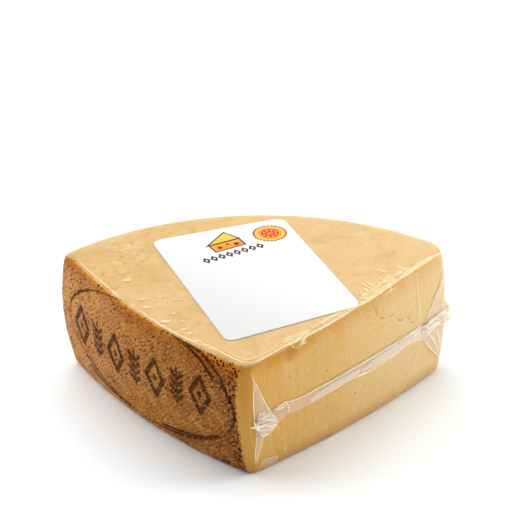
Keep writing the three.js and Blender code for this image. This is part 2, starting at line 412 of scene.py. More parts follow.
# Patches of colour: the size of their cloud in mm, its detail, roughness and warp, where a patch
# starts and where it is full, the most that shows of it, and its colour.
RIND_PATCHES = (
    (11, 4, 0.6, 0, 0.43, 0.72, 0.62, RIND_RED),
    (15, 4, 0.6, 0.3, 0.48, 0.72, 0.7, RIND_GOLD),
)
TOP_PATCHES = (
    (13, 5, 0.6, 0.8, 0.45, 0.7, 0.75, TOP_LIGHT),
    (21, 4, 0.6, 0.5, 0.5, 0.72, 0.4, TOP_DEEP),
    (2.6, 4, 0.65, 0, 0.42, 0.75, 0.26, TOP_DEEP),
)
CUT_PATCHES = ((2.2, 3, 0.6, 0, 0.45, 0.75, 0.26, CUT_FOOT),)
THREAD_SLANTS = (-50, 40)  # of the cloth, in degrees
STROKE_SIZE = (3.4, 1.1)
PITCHES = (2.3, 2.5)


def patched(colour, place, patches):
    """The colour with patches of others over it."""
    for size, detail, rough, warp, start, full, most, ink in patches:
        share = cloud(place, size, detail, rough, warp).fade(start, full, 0, most)
        colour = mix(share, colour, ink)
    return colour


def strokes(surface, slant, length, width):
    """Short strokes that lie at a slant, in degrees: noise drawn out along them, 0 to 1."""
    around, up, _ = separate(surface)
    cosine, sine = towards(slant, 1)
    along = (around * cosine + up * sine) / length
    across = (up * cosine - around * sine) / width
    return cloud(combine(along, across, slant), 1, 2)


def threads(surface, slant, pitch, wander):
    """Long threads that lie at a slant, in degrees: 0 to 1 and back across each."""
    around, up, _ = separate(surface)
    cosine, sine = towards(slant, TURN / pitch)
    return ((up * cosine - around * sine) + wander).sine() * 0.5 + 0.5


def cloth_print(surface):
    """The print of the cloth the wheel was pressed in, 0 to 1: short strokes that cross in patches."""
    one, other = (strokes(surface, slant, *STROKE_SIZE) for slant in THREAD_SLANTS)
    crossing = one + (other - one) * cloud(surface, 9).fade(0.42, 0.58)
    wander = (cloud(surface, 12, 3) - 0.5) * 16
    warp = threads(surface, THREAD_SLANTS[0], PITCHES[0], wander)
    weft = threads(surface, THREAD_SLANTS[1], PITCHES[1], wander * -1)
    return crossing * 0.85 + warp * weft * 0.15


def rind_pits(surface, depth, near_front):
    """Small dark pits in patches, closer and larger along the rind's edge at the front."""
    patches = cloud(surface, 9, 2).fade(0.48, 0.7) * 0.6
    dots = (cell_distance(surface, 2.3) - cloud(surface, 1.2) * 0.6).fade(0, -0.1)
    dots = dots * patches.most(depth.fade(0, 8, 0.8, 0))
    large = (cell_distance(surface, 2.1) - cloud(surface, 1.4, 3) * 0.85).fade(0.05, -0.1)
    return dots.most(large * depth.fade(0, 14, 1, 0) * near_front * 0.9)


def rind_colour(place, surface, depth, below_top):
    """Tan at the left and brown at the right, partly the rind's own tone and partly painted light at
    the left and painted shade at the right; in the cloth's print, pitted, and amber at the top.
    """
    x, _, _ = separate(place)
    around, _, _ = separate(surface)
    shift = (cloud(surface, 22, 3, 0.6) - 0.5) * 100
    # Painted shade darkens the face towards the right; on the rim behind, it is held back to a middle
    # brown.
    on_rim = around.fade(150, 230)
    across = x * (on_rim * -0.55 + 1) - on_rim * 60
    colour = blend(across + shift, -135, 5, RIND_TONES_AND_SHADE)
    colour = patched(colour, surface, RIND_PATCHES)
    grain = cloth_print(surface)
    colour = mix(grain.fade(0.46, 0.28, 0, 1), colour, RIND_DARK)
    colour = mix(grain.fade(0.48, 0.7, 0, 0.6), colour, RIND_LIGHT)
    near_front = around.fade(-60, -8) * around.fade(120, 60)
    band = below_top / near_front.fade(0, 1, 1, 1.8) + cloud(surface, 5, 3) * 5
    colour = mix(band.fade(1.5, 12, 0.95, 0), colour, blend(band, 1, 9, AMBER))
    pits = rind_pits(surface, depth, near_front)
    return mix(pits.fade(0, 0.7), colour, RIND_PIT), grain, pits


def top_colour(place):
    """Cream, paler to the right, with freckles and brown specks, and the mottles for its relief."""
    x, _, _ = separate(place)
    colour = mix((x + (cloud(place, 34, 3) - 0.5) * 160).fade(-90, 90), TOP_CREAM, TOP_PALE)
    colour = patched(colour, place, TOP_PATCHES)
    specks = (cell_distance(place, 8.5) - cloud(place, 1) * 0.2).fade(0, -0.06)
    specks = specks * cloud(place, 26).fade(0.5, 0.6)
    freckles = cloud(place, 5, 5, 0.75).fade(0.48, 0.66) * x.fade(-20, -80, 0.15, 1)
    freckles = freckles * cloud(place, 24).fade(0.42, 0.58)
    colour = mix(freckles * 0.7, colour, TOP_FRECKLE)
    return mix(specks * 0.6, colour, TOP_SPECK), cloud(place, *TOP_PATCHES[-1][:4])


CUT_STAIN = (35, 76, 4)  # its middle and radius on the skin


def cut_colour(surface, below_top):
    """Golden at the front and paler to the right, partly the paste's own tone and partly painted shade
    at the front and painted light at the right; with soft upright streaks, amber along the top edge and
    front.
    """
    around, up, _ = separate(surface)
    streaks = cloud(combine(around, up * 0.08, 0), 3.4, 4, 0.6)
    patches = cloud(combine(around, up, 9), 15, 2)
    # Painted light and shade: darker gold at the front corner and paler towards the lit right end,
    # mixed with the paste's own change of tone.
    colour = mix((around + (patches - 0.5) * 70).fade(-10, 165), CUT_GOLD_AND_SHADE, CUT_PALE)
    colour = mix(streaks.fade(0.45, 0.75, 0, 0.5), colour, CUT_PALE)
    colour = patched(colour, surface, CUT_PATCHES)
    band = (below_top + (patches - 0.5) * 12).fade(-1, 15, 1, 0)
    strength = around.fade(10, 110, 0.9, 0.42)
    front = around.fade(-2, 15, 0.7, 0) * up.fade(30, 76, 0.4, 1)
    colour = mix((band * strength).most(front), colour, CUT_AMBER)
    stain = disc(around - CUT_STAIN[0], up - CUT_STAIN[1], CUT_STAIN[2]) + (patches - 0.5) * 9
    colour = mix(stain.fade(-4, 4, 0, 0.55), colour, CUT_BROWN)
    return mix(up.fade(0, 13, 0.5, 0), colour, CUT_FOOT), streaks


def cheese_material():
    material, tree, shader = new_material(
        "cheese", Roughness=0.55, Specular_IOR_Level=0.02, Subsurface_Weight=0.1,
        Subsurface_Radius=(0.004, 0.002, 0.001), Subsurface_Scale=1,
    )
    place = place_in_mm(tree)
    surface = place_on_map(tree, "skin")
    ragged = cloud(surface, 2.4, 3, 0.6) - 0.5
    worn = cloud(surface, 1.3, 3, 0.6) - 0.5
    around, _, _ = separate(surface)
    softness = around.fade(-26, -6, 1, 3) + around.fade(150, 190, 0, -1)
    depth = attribute(tree, "rind_depth") + ragged * (softness * 2)
    below_top = attribute(tree, "below_top") + ragged * 2
    rind, grain, pits = rind_colour(place, surface, depth, below_top)
    stamp = (attribute(tree, "stamp_gap") + worn * 2.4).fade(0.5, -0.5)
    rind = mix(stamp * cloud(surface, 2, 4, 0.7).fade(0.35, 0.6, 0.6, 0.95), rind, STAMP_BROWN)
    top, mottles = top_colour(place)
    cut, streaks = cut_colour(surface, attribute(tree, "below_edge"))
    hole = (attribute(tree, "hole_gap") + worn * 3).fade(0.4, -0.3)
    cut = mix(hole * 0.75, cut, CUT_HOLE)
    paste = mix(attribute(tree, "cut_face"), top, cut)
    is_rind = (depth / softness).fade(-0.4, 0.6)
    join(tree, mix(is_rind, paste, rind), shader.inputs["Base Color"])
    relief = (grain * 0.8 + pits * -1 + stamp * -0.5) * is_rind + mottles * 0.2 + streaks * 0.1
    join(tree, bump(relief, 0.25), shader.inputs["Normal"])
    return material


# ---------------- film, paper and floor

# Cream film stands for the film's highlights: painted highlight.
CREAM_HIGHLIGHT_FILM = srgb(255, 238, 188)
# Loose film by the name of its material: its colour, and how much it covers. The cream films are
# painted highlights and glints on real folds and welds, the near white of the folds is partly painted
# glint, and the grey one is painted shadow.
LOOSE_FILM = {
    "film_single": (srgb(250, 240, 230), 0.25),
    "film_layers": (srgb(253, 239, 220), 0.46),
    "film_folds_and_glints": (srgb(255, 250, 234), 0.66),
    "film_painted_shadow": (srgb(206, 186, 172), 0.4),
    "film_creases_and_sheen": (CREAM_HIGHLIGHT_FILM, 0.27),
    "film_edge_highlights": (CREAM_HIGHLIGHT_FILM, 0.55),
    "film_glints": (CREAM_HIGHLIGHT_FILM, 0.66),
}


def film_material():
    """Tight clear film shows only what it mirrors, so it is a faint dim mirror and nothing else."""
    material, tree, shader = new_material(
        "clear_film", Base_Color=(0.04, 0.04, 0.04, 1), Metallic=1, Roughness=0.13, Alpha=0.015
    )
    ripples = cloud(place_in_mm(tree), 14, 2, 0.5, 1.2)
    join(tree, bump(ripples, 0.5), shader.inputs["Normal"])
    return material


def add_loose_film():
    """Folded, doubled or welded film: whitish, and clearer the fewer layers there are."""
    for name, (colour, alpha) in LOOSE_FILM.items():
        _, tree, shader = new_material(
            name, Base_Color=colour, Roughness=0.25, Specular_IOR_Level=0.6, Alpha=alpha
        )
        creases = cloud(place_in_mm(tree), 3, 3, 0.6, 0.8)
        join(tree, bump(creases, 0.25), shader.inputs["Normal"])


PRINT_BROWN = srgb(48, 18, 10)
PRINT_GOLD = srgb(246, 196, 40)
PRINT_ORANGE = srgb(232, 136, 16)
PRINT_YELLOW = srgb(240, 184, 50)
PRINT_RED = srgb(206, 30, 20)
PRINT_DARK_RED = srgb(128, 22, 12)
# Paper white, and the painted shade it fades to towards the near left corner.
PAPER_WHITE = (0.85, 0.85, 0.85, 1)
PAPER_PAINTED_SHADE = (0.652, 0.65, 0.64, 1)


def disc(across, along, radius):
    """Positive inside a round spot, in mm from its edge."""
    squared = across * across + along * along
    return squared.root() * -1 + radius


def bar(across, along, half_width, half_height):
    """Positive inside an upright rectangle, in mm from its nearest side."""
    return (across.size() * -1 + half_width).least(along.size() * -1 + half_height)


def half_plane(across, along, start, end):
    """Positive to the left of the line from start to end, in mm from it."""
    run = np.array(end) - np.array(start)
    normal = np.array([-run[1], run[0]]) / np.linalg.norm(run)
    return across * normal[0] + along * normal[1] - float(normal @ np.array(start))


def inside_polygon(across, along, corners):
    """Positive inside a convex polygon whose corners run counter-clockwise."""
    edges = zip(corners, corners[1:] + corners[:1])
    planes = [half_plane(across, along, start, end) for start, end in edges]
    inside = planes[0]
    for plane in planes[1:]:
        inside = inside.least(plane)
    return inside


def printed(share_inside, paper, ink):
    return mix(share_inside.fade(-0.12, 0.12), paper, ink)


# The print's own frame on the label: its origin in mm from the far left corner, and its turn in
# degrees.
PRINT_PLACE = (39.1, -30.5)
PRINT_TURN = 8
WEDGE_SIDE = [(-7.5, 6.5), (11, 6.5), (11, 13.6), (-7.5, 13.6)]
WEDGE_TOP = [(-7.5, 15), (11, 15), (7, 24)]
WEDGE_HOLES = ((-3.4, 9.6, 1.4), (2.2, 11.2, 1), (7.2, 9.2, 1.6))
OUTLINE_WIDTH = 1
CAPTION_MARKS = 8
CAPTION_STEP = 5
CAPTION_HALF = (2.4, 3.5)
SEAL = (30, 10.5)
SEAL_TEETH = 28
SEAL_RINGS = ((9, PRINT_YELLOW), (6.6, PRINT_DARK_RED), (6.2, PRINT_YELLOW), (5.5, PRINT_RED))
PETALS = 8
PETAL_REACH = 3.7
LABEL_DEPTH = 121


def wedge_print(across, along, paper):
    """A wedge of cheese, gold above and orange below, outlined in brown."""
    for corners in (WEDGE_SIDE, WEDGE_TOP):
        shape = inside_polygon(across, along, corners)
        paper = printed(shape + OUTLINE_WIDTH, paper, PRINT_BROWN)
        paper = printed(shape, paper, mix(along.fade(8, 20), PRINT_ORANGE, PRINT_GOLD))
    for x, y, radius in WEDGE_HOLES:
        paper = printed(disc(across - x, along - y, radius), paper, PRINT_BROWN)
    return paper


def caption_print(across, along, paper):
    """A row of hollow lozenges like those of the stamp."""
    wide, tall = CAPTION_HALF
    for n in range(CAPTION_MARKS):
        beside = across - (n - (CAPTION_MARKS - 1) / 2) * CAPTION_STEP
        inside = beside.size() * (-1 / wide) - along.size() * (1 / tall) + 1
        line = inside.least(inside * -1 + 0.66) * wide
        paper = printed(line, paper, PRINT_BROWN)
    return paper


def seal_print(across, along, paper):
    """A round seal with a toothed dark red rim, yellow and red rings and a rosette."""
    teeth = (along.bearing(across) * SEAL_TEETH).sine() * 0.35
    paper = printed(disc(across, along, 10) + teeth, paper, PRINT_DARK_RED)
    for radius, ink in SEAL_RINGS:
        paper = printed(disc(across, along, radius), paper, ink)
    for n in range(PETALS):
        x, y = towards(360 * n / PETALS, PETAL_REACH)
        paper = printed(disc(across - x, along - y, 0.7), paper, PRINT_YELLOW)
    return printed(bar(across, along, 1.9, 1.2), paper, PRINT_ORANGE)


def label_material():
    material, tree, shader = new_material("label_paper", Roughness=0.5, Specular_IOR_Level=0.4)
    surface = place_on_map(tree, "sheet")
    sheet_across, sheet_along, _ = separate(surface)
    # Painted shade: the paper greys towards its near left corner.
    painted_shade_reach = sheet_across + (sheet_along + LABEL_DEPTH) * 0.5
    paper = mix(painted_shade_reach.fade(0, 140), PAPER_PAINTED_SHADE, PAPER_WHITE)
    across, along = sheet_across - PRINT_PLACE[0], sheet_along - PRINT_PLACE[1]
    cosine, sine = towards(PRINT_TURN, 1)
    across, along = across * cosine + along * sine, along * cosine - across * sine
    paper = wedge_print(across, along, paper)
    paper = caption_print(across, along, paper)
    paper = seal_print(across - SEAL[0], along - SEAL[1], paper)
    join(tree, paper, shader.inputs["Base Color"])
    join(tree, bump(cloud(surface, 0.8, 3), 0.03), shader.inputs["Normal"])
    return material


FLOOR_WHITE = (0.945, 0.985, 1, 1)
FLOOR_SHADE = (0.935, 0.975, 0.99, 1)


def floor_material():
    material, tree, shader = new_material("white_floor", Roughness=0.7, Specular_IOR_Level=0.2)
    shade = cloud(place_in_mm(tree), 400)
    join(tree, mix(shade, FLOOR_WHITE, FLOOR_SHADE), shader.inputs["Base Color"])
    return material


# ---------------- meshes


def grid_faces(rows, columns, first=0):
    """The quads of a grid of points, counter-clockwise where rows run up and columns right."""
    start = first + np.arange(rows - 1)[:, None] * columns + np.arange(columns - 1)[None]
    quads = np.stack([start, start + 1, start + columns + 1, start + columns], -1)
    return quads.reshape(-1, 4).tolist()


def add_object(name, data):
    added = bpy.data.objects.new(name, data)
    bpy.context.scene.collection.objects.link(added)
    return added


def add_piece(name, points, faces, material):
    mesh = bpy.data.meshes.new(name)
    mesh.from_pydata(((points.reshape(-1, 3) + OFFSET) * MM).tolist(), [], faces)
    mesh.materials.append(material)
    mesh.shade_smooth()
    return add_object(name, mesh)


def read(items, name, width=1, kind=np.float32):
    """The named value, or row of values, of each of a mesh's points, corners or faces."""
    values = np.zeros(len(items) * width, kind)
    items.foreach_get(name, values)
    return values.reshape(-1, width).squeeze()


def add_map(mesh, name, places):
    """A UV map, from the places of all corners of the faces."""
    layer = mesh.uv_layers.new(name=name)
    layer.data.foreach_set("uv", places.astype(np.float32).ravel())


def push_out(piece, distances, floor=0):
    """Moves every point along its normal, and none below the floor. Both are in mm."""
    vertices = piece.data.vertices
    shifts = read(vertices, "normal", 3) * np.asarray(distances).reshape(-1, 1) * MM
    moved = read(vertices, "co", 3) + shifts
    moved[:, 2] = np.maximum(moved[:, 2], floor * MM)
    vertices.foreach_set("co", moved.astype(np.float32).ravel())
    piece.data.update()


def lumps(points, size, seed=0):
    """Smooth noise of about -1 to 1 at each point, with lumps of the given size."""
    shift = Vector((seed, seed * 1.7, seed * 2.3))
    flat = (np.asarray(points).reshape(-1, 3) / size).tolist()
    return np.array([noise.noise(Vector(point) + shift) for point in flat])


def smooth_step(values, start, end):
    share = np.clip((values - start) / (end - start), 0, 1)
    return share * share * (3 - 2 * share)


# ---------------- marks on the skin, as distances

STAMP_CENTRE = (-82, 43.5)
STAMP_REACH = (75.5, 38)
STAMP_STROKE = 0.65
HEAVY_STROKES = (
    (-50, 79.6, -43, 78.9, -31.7, 77.2, -26.7, 74.7, -17.3, 67.8, -13.5, 61.4, -9.9, 54),
    (-44, 77, -35.2, 74.3, -29.5, 71, -22.4, 63.5),
    (-68, 8.6, -52.8, 11.2, -39.6, 14, -31.1, 16.8, -19.9, 23),
    (-141.3, 13.2, -132, 10.2, -119.8, 7.2, -101, 6.2),
)
HEAVY_STROKE = 1.8 * STAMP_STROKE
SCRATCHES = (
    (-76.8, 70.2, -68.5, 60, -59.6, 51), (-74.6, 70.6, -66.6, 60.6, -57.6, 51.4),
)
SCRATCH_STROKE = 0.3
MARKS = 7
MARK_START, MARK_END = -143, -32
MARK_UP = 41.5
MARK_RISE = 7  # of the marks to the right, which starts and ends at MARKS_RISING
MARKS_RISING = (-90, -30)
MARK_HALF = (7.2, 12.5)
MARK_STROKE = 1.7
HEART_HALF = (2, 3.6)
STEM_STROKE = 0.8
LEAVES = 4
LEAF_SPREAD = 0.62  # of the half width
LEAF_RISE = 3.6
LEAF_STROKE = 1.25
LEAST_GAP, MOST_GAP = -4, 9


def as_points(row):
    """The points of a path that is written as one row of numbers."""
    return np.array(row, float).reshape(-1, 2)


def path_gap(across, along, path):
    """Distance from a path."""
    points = as_points(path)
    gaps = []
    for start, run in zip(points, np.diff(points, axis=0)):
        beside, above = across - start[0], along - start[1]
        share = np.clip((beside * run[0] + above * run[1]) / (run @ run), 0, 1)
        gaps.append(np.hypot(beside - share * run[0], above - share * run[1]))
    return np.min(gaps, 0)


def ellipse_gap(across, along, half_width, half_height):
    """Distance from an ellipse's line, near enough."""
    share = np.hypot(across / half_width, along / half_height) + 1e-6
    slope = np.hypot(across / half_width**2, along / half_height**2) / share + 1e-6
    return np.abs(share - 1) / slope


def lozenge_gap(across, along):
    """A hollow lozenge with a small one in it."""
    wide, tall = MARK_HALF
    corners = (0, -tall, wide, 0, 0, tall, -wide, 0, 0, -tall)
    frame_line = path_gap(across, along, corners) - MARK_STROKE
    heart = (np.abs(across) / HEART_HALF[0] + np.abs(along) / HEART_HALF[1] - 1) * 1.7
    return np.minimum(frame_line, heart)


def branch_gap(across, along):
    """An upright stem with pairs of slanting leaves."""
    wide, tall = MARK_HALF
    across = np.abs(across)
    gaps = [path_gap(across, along, (0, -tall, 0, tall)) - STEM_STROKE]
    for foot in np.linspace(-0.75, 0.45, LEAVES) * tall:
        leaf = (1, foot, LEAF_SPREAD * wide, foot + LEAF_RISE)
        gaps.append(path_gap(across, along, leaf) - LEAF_STROKE)
    return np.min(gaps, 0)


def stamp_gap(around, up):
    """Distance from the burnt marks on the rind: ornaments in an oval line, heavy here and there."""
    across, along = around - STAMP_CENTRE[0], up - STAMP_CENTRE[1]
    bearing = np.arctan2(along / STAMP_REACH[1], across / STAMP_REACH[0])
    thinner = 0.3 * np.sin(bearing * 5 + 1)
    gaps = [ellipse_gap(across, along, *STAMP_REACH) - STAMP_STROKE - thinner]
    gaps += [path_gap(around, up, path) - HEAVY_STROKE for path in HEAVY_STROKES]
    gaps += [path_gap(around, up, path) - SCRATCH_STROKE for path in SCRATCHES]
    for n, middle in enumerate(np.linspace(MARK_START, MARK_END, MARKS)):
        height = MARK_UP + MARK_RISE * smooth_step(middle, *MARKS_RISING)
        shape = lozenge_gap if n % 2 == 0 else branch_gap
        gaps.append(shape(around - middle, up - height))
    return np.clip(np.min(gaps, 0), LEAST_GAP, MOST_GAP)


# On the cut face: cracks, and eyes with their radii.
CRACKS = (
    (105.5, 73, 106.8, 70, 107.2, 67.6), (109.8, 64.6, 112.6, 63), (117.1, 61.8, 121.6, 61),
    (126, 56.6, 128.2, 54, 130.9, 54), (134.5, 53.6, 137.6, 50.4), (139, 48, 142.6, 46.5),
)
CRACK_WIDTH = 0.35
EYES = (
    (87.9, 23.5, 0.8), (96, 24.8, 0.6), (63.6, 24.8, 0.7), (63.3, 30.8, 0.6), (70.9, 33, 0.5),
    (62.4, 51, 0.5), (47, 58.5, 0.5), (106.8, 23.5, 0.5), (138.9, 2, 0.6), (125.2, 5, 0.5),
    (85.4, 17.7, 0.4), (33, 60, 0.4),
)


def hole_gap(around, up):
    """Distance from the cracks and eyes in the paste."""
    gaps = [path_gap(around, up, path) - CRACK_WIDTH for path in CRACKS]
    gaps += [np.hypot(around - x, up - y) - radius for x, y, radius in EYES]
    return np.clip(np.min(gaps, 0), LEAST_GAP, MOST_GAP)


# ---------------- the cheese

RIM_RIND_TOP = 71
FACE_RIND_TOP = 79.2
RIM_RIND_START = 188
LEFT_CORNER = (-188, -160)  # where the rim's rind goes over into the face's
PAST_LEFT = -170  # before this place the rind reaches round the left corner
MID_CUT = 60  # what is nearer than this belongs to the rind face's edge, and the rest to the rim's
RIND_EDGE_UP = (0, 13.6, 35.5, 56.7, 70, 80)
RIND_EDGE_AROUND = (-1.5, -2.3, -3.6, -4.9, -3.6, -2)
CUT_STARTS, CUT_ENDS = (-40, -20), (196, 186)  # where the cut face's colour fades in and out
CUT_TOP = (79.8, 78)

# The distances between points on the near faces, on the rim and up the wall, in mm, and the rings
# of points on the underside and the top.
CHEESE_STEPS = (0.9, 1.7, 1)
CHEESE_CAPS = (10, 44)
FILM_STEPS = (1.6, 3, 1.6)
FILM_CAPS = (4, 22)
CORNER_STEP = 0.7  # as a share of the step on the faces
BOTTOM_STEP = 0.6
EDGE_RINGS = 24
ROUNDED_FROM = 68

WAVES = 0.16  # depths of the relief in mm
RIND_LUMPS = 0.2
RIND_SUNK = 0.15
STAMP_DEPTH = 0.35
HOLE_DEPTH = 0.5
MOST_RELIEF = 0.22  # stays under the film
LOWEST = 0.3


def around_from_middle(around):
    """The same places with the break behind, in the middle of the rim."""
    half = WHOLE_ROUND / 2
    return (around + half) % WHOLE_ROUND - half


def below_rind_top(around, height):
    near = around_from_middle(around)
    on_face = smooth_step(near, *LEFT_CORNER) * (near < MID_CUT)
    return RIM_RIND_TOP + (FACE_RIND_TOP - RIM_RIND_TOP) * on_face - height


def rind_depth(around, up, height):
    """How far inside the rind a place is, in mm. It is negative on bare paste."""
    near = around_from_middle(around)
    face_edge = np.interp(height, RIND_EDGE_UP, RIND_EDGE_AROUND)
    beside = np.where(near < MID_CUT, face_edge - near, near - RIM_RIND_START)
    beside = np.where(near < PAST_LEFT, np.maximum(beside, 0), beside)
    return np.minimum(np.minimum(beside, below_rind_top(around, height)), up + 1)


def spaced(start, end, step):
    return np.linspace(start, end, max(2, round((end - start) / step)), endpoint=False)


def heel_columns(face_step, rim_step):
    """Places round the outline, closer on the two near faces than on the rim behind."""
    left, right = -TO_FRONT_CORNER, ARC_LENGTHS[2] / 2 + ARC_LENGTHS[3]
    stops = (left, left + ARC_LENGTHS[0], -ARC_LENGTHS[2] / 2, ARC_LENGTHS[2] / 2, right)
    corner_step = face_step * CORNER_STEP
    steps = (corner_step, face_step, corner_step, face_step)
    parts = [spaced(a, b, step) for a, b, step in zip(stops, stops[1:], steps)]
    parts.append(spaced(right, right + ARC_LENGTHS[4], face_step))
    parts.append(spaced(right + ARC_LENGTHS[4], WHOLE_ROUND + left, rim_step))
    return np.concatenate(parts)


def ring_heights(step):
    """Heights of the rings of points on the wall, closer together where its edges are rounded."""
    share = np.linspace(0, 1, EDGE_RINGS)
    rounded = HEIGHT - (HEIGHT - ROUNDED_FROM) * (1 - share) ** 2
    straight = spaced(BOTTOM_EDGE, ROUNDED_FROM, step)
    return np.concatenate([spaced(0, BOTTOM_EDGE, BOTTOM_STEP), straight, rounded])


def cap_rings(edge, count, outward):
    """Rings that close a flat end inwards from its edge, and how far each point is from the edge."""
    middle = edge.mean(0)
    shares = np.linspace(0, 1, count + 1)[1:-1, None, None] ** 0.9
    rings = edge + (middle - edge) * shares
    return rings[::outward], (length_of(middle - edge)[None] * shares)[::outward, :, 0] * outward


def heel_faces(rings, count):
    """Quads between rings of points, and at both ends a fan to one of the two points after them."""
    ring = np.arange(count)
    beside = (ring + 1) % count
    first = np.arange(rings - 1)[:, None] * count
    quads = np.stack([first + ring, first + beside, first + beside + count, first + ring + count], -1)
    last = (rings - 1) * count
    end = np.full(count, rings * count)
    low_fan = np.stack([end, beside, ring], 1)
    high_fan = np.stack([end + 1, last + ring, last + beside], 1)
    return quads.reshape(-1, 4).tolist() + low_fan.tolist() + high_fan.tolist()


def heel_mesh(name, steps, caps, lift, material):
    """A closed skin all round the piece, with its points' places round it, up it and heights."""
    columns = heel_columns(*steps[:2])
    around, height = np.meshgrid(columns, ring_heights(steps[2]))
    up = up_at(around, height)
    wall = skin(around, up, lift)
    low, low_reach = cap_rings(wall[0], caps[0], -1)
    high, high_reach = cap_rings(wall[-1], caps[1], 1)
    grid = np.concatenate([low, wall, high])
    up = np.concatenate([up[0] + low_reach, up, up[-1] + high_reach])
    points = np.concatenate([grid.reshape(-1, 3), [grid[0].mean(0), grid[-1].mean(0)]])
    piece = add_piece(name, points, heel_faces(*grid.shape[:2]), material)
    around = np.append(np.broadcast_to(columns, up.shape), [0, 0])
    up = np.append(up, [up.min() - 1, up.max() + 1])
    map_skin(piece.data, around, up)
    return piece, around, up, points[:, 2]


def map_skin(mesh, around, up):
    """Lays a UV map in mm of around and up, unbroken where the outline closes."""
    corners = read(mesh.loops, "vertex_index", kind=np.int32)
    starts = read(mesh.polygons, "loop_start", kind=np.int32)
    sizes = read(mesh.polygons, "loop_total", kind=np.int32)
    values = around[corners]
    highest = np.repeat(np.maximum.reduceat(values, starts), sizes)
    values = np.where(highest - values > WHOLE_ROUND / 2, values + WHOLE_ROUND, values)
    add_map(mesh, "skin", np.stack([values, up[corners]], 1))


def store(piece, layers):
    for name, values in layers.items():
        layer = piece.data.attributes.new(name, "FLOAT", "POINT")
        layer.data.foreach_set("value", np.asarray(values, np.float32).ravel())


def cheese_relief(around, up, height, depth, stamp, holes):
    """Slow waves, and on the rind finer lumps, with the stamp and the holes sunk in."""
    points = np.stack([around, up, height], 1)
    lumpy = RIND_LUMPS * lumps(points, 6, 3) - RIND_SUNK
    relief = WAVES * lumps(points, 21) + smooth_step(depth, -1, 1.5) * lumpy
    relief -= STAMP_DEPTH * smooth_step(stamp, 0.6, -0.8)
    relief -= HOLE_DEPTH * smooth_step(holes, 0.7, -0.5)
    return np.minimum(relief, MOST_RELIEF)


def add_cheese(material):
    piece, around, up, height = heel_mesh("cheese_body", CHEESE_STEPS, CHEESE_CAPS, 0, material)
    near = around_from_middle(around)
    past_edge = height + np.maximum(up - up_at(around, HEIGHT), 0)
    depth = rind_depth(around, up, past_edge)
    stamp = np.where(near < 0, stamp_gap(near, past_edge), MOST_GAP)
    holes = np.where(near > 0, hole_gap(near, past_edge), MOST_GAP)
    on_cut = smooth_step(near, *CUT_STARTS) * smooth_step(near, *CUT_ENDS)
    store(piece, {
        "rind_depth": depth,
        "below_top": below_rind_top(around, past_edge),
        "below_edge": HEIGHT - height,
        "stamp_gap": stamp,
        "hole_gap": holes,
        "cut_face": on_cut * smooth_step(height, *CUT_TOP),
    })
    push_out(piece, cheese_relief(around, up, height, depth, stamp, holes), LOWEST)
    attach(piece, "root")
    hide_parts("cheese")


# ---------------- the film

EDGE_WAVES = 0.25
EDGE_STARTS, EDGE_ENDS = (73, 79), (90, 82)  # the first is a height, the second is an up
NEAR_STARTS, NEAR_ENDS = (-60, -10), (185, 150)


def add_film_skin(material):
    """The tight film all round, a little wavy where it turns over the near top edges."""
    piece, around, up, height = heel_mesh("film_skin", FILM_STEPS, FILM_CAPS, FILM_LIFT, material)
    near = around_from_middle(around)
    at_edge = smooth_step(height, *EDGE_STARTS) * smooth_step(up, *EDGE_ENDS)
    at_edge *= smooth_step(near, *NEAR_STARTS) * smooth_step(near, *NEAR_ENDS)
    waves = lumps(np.stack([near / 1.6, up / 5, near * 0], 1), 3, 5)
    push_out(piece, EDGE_WAVES * at_edge * waves)
    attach(piece, "root")


def path_length(points):
    return float(length_of(np.diff(points, axis=0)).sum())


def points_along(points, shares):
    distance = np.append(0, np.cumsum(length_of(np.diff(points, axis=0))))
    return np.stack([np.interp(shares * distance[-1], distance, values) for values in points.T], 1)


def crumple(x, y, pitch, seed):
    """Sharp folds of film, about -1 to 1, with ridges where two slopes meet."""
    flat = np.stack([x, y, np.full_like(x, seed)], -1)
    coarse = 1 - np.abs(lumps(flat, pitch, seed)) * 3
    fine = 1 - np.abs(lumps(flat, pitch * 0.45, seed + 4)) * 3
    return (0.65 * coarse + 0.35 * fine).reshape(x.shape)


FOLD_SECTION = ((-1, 0), (-0.55, 0.8), (0, 1), (0.55, 0.8), (1, 0))  # across and up
FOLD_STEP = 0.7
FOLD_LUMPS = 4  # the length of its uneven places
FOLD_UNEVEN = 0.5
FOLD_WANDER = 0.15
FOLD_RISE = 0.3  # its height for each mm of half its width
BASE_LIFT = 0.5


def fold(width, *path, place=skin, lift=BASE_LIFT):
    """A low narrow fold of film along a path, uneven, and pointed at both ends."""
    path = as_points(path)
    shares = np.linspace(0, 1, max(4, round(path_length(path) / FOLD_STEP)))
    line = points_along(path, shares)
    heading = np.gradient(line, axis=0)
    heading /= length_of(heading) + 1e-9
    side = np.stack([-heading[:, 1], heading[:, 0]], 1)
    seed = line[0].sum()
    uneven = 1 + FOLD_UNEVEN * lumps(np.stack([*line.T, shares * 0 + seed], 1), FOLD_LUMPS)
    half = width / 2 * uneven * np.sin((0.02 + 0.96 * shares) * math.pi) ** 0.6
    wander = lumps(np.stack([*line.T, shares * 0], 1), FOLD_LUMPS, seed)
    line = line + side * FOLD_WANDER * wander[:, None]
    edges = []
    for across, rise in FOLD_SECTION:
        spot = line + side * (across * half)[:, None]
        edges.append(place(*spot.T, lift + FOLD_RISE * rise * half))
    return np.stack(edges, 1)


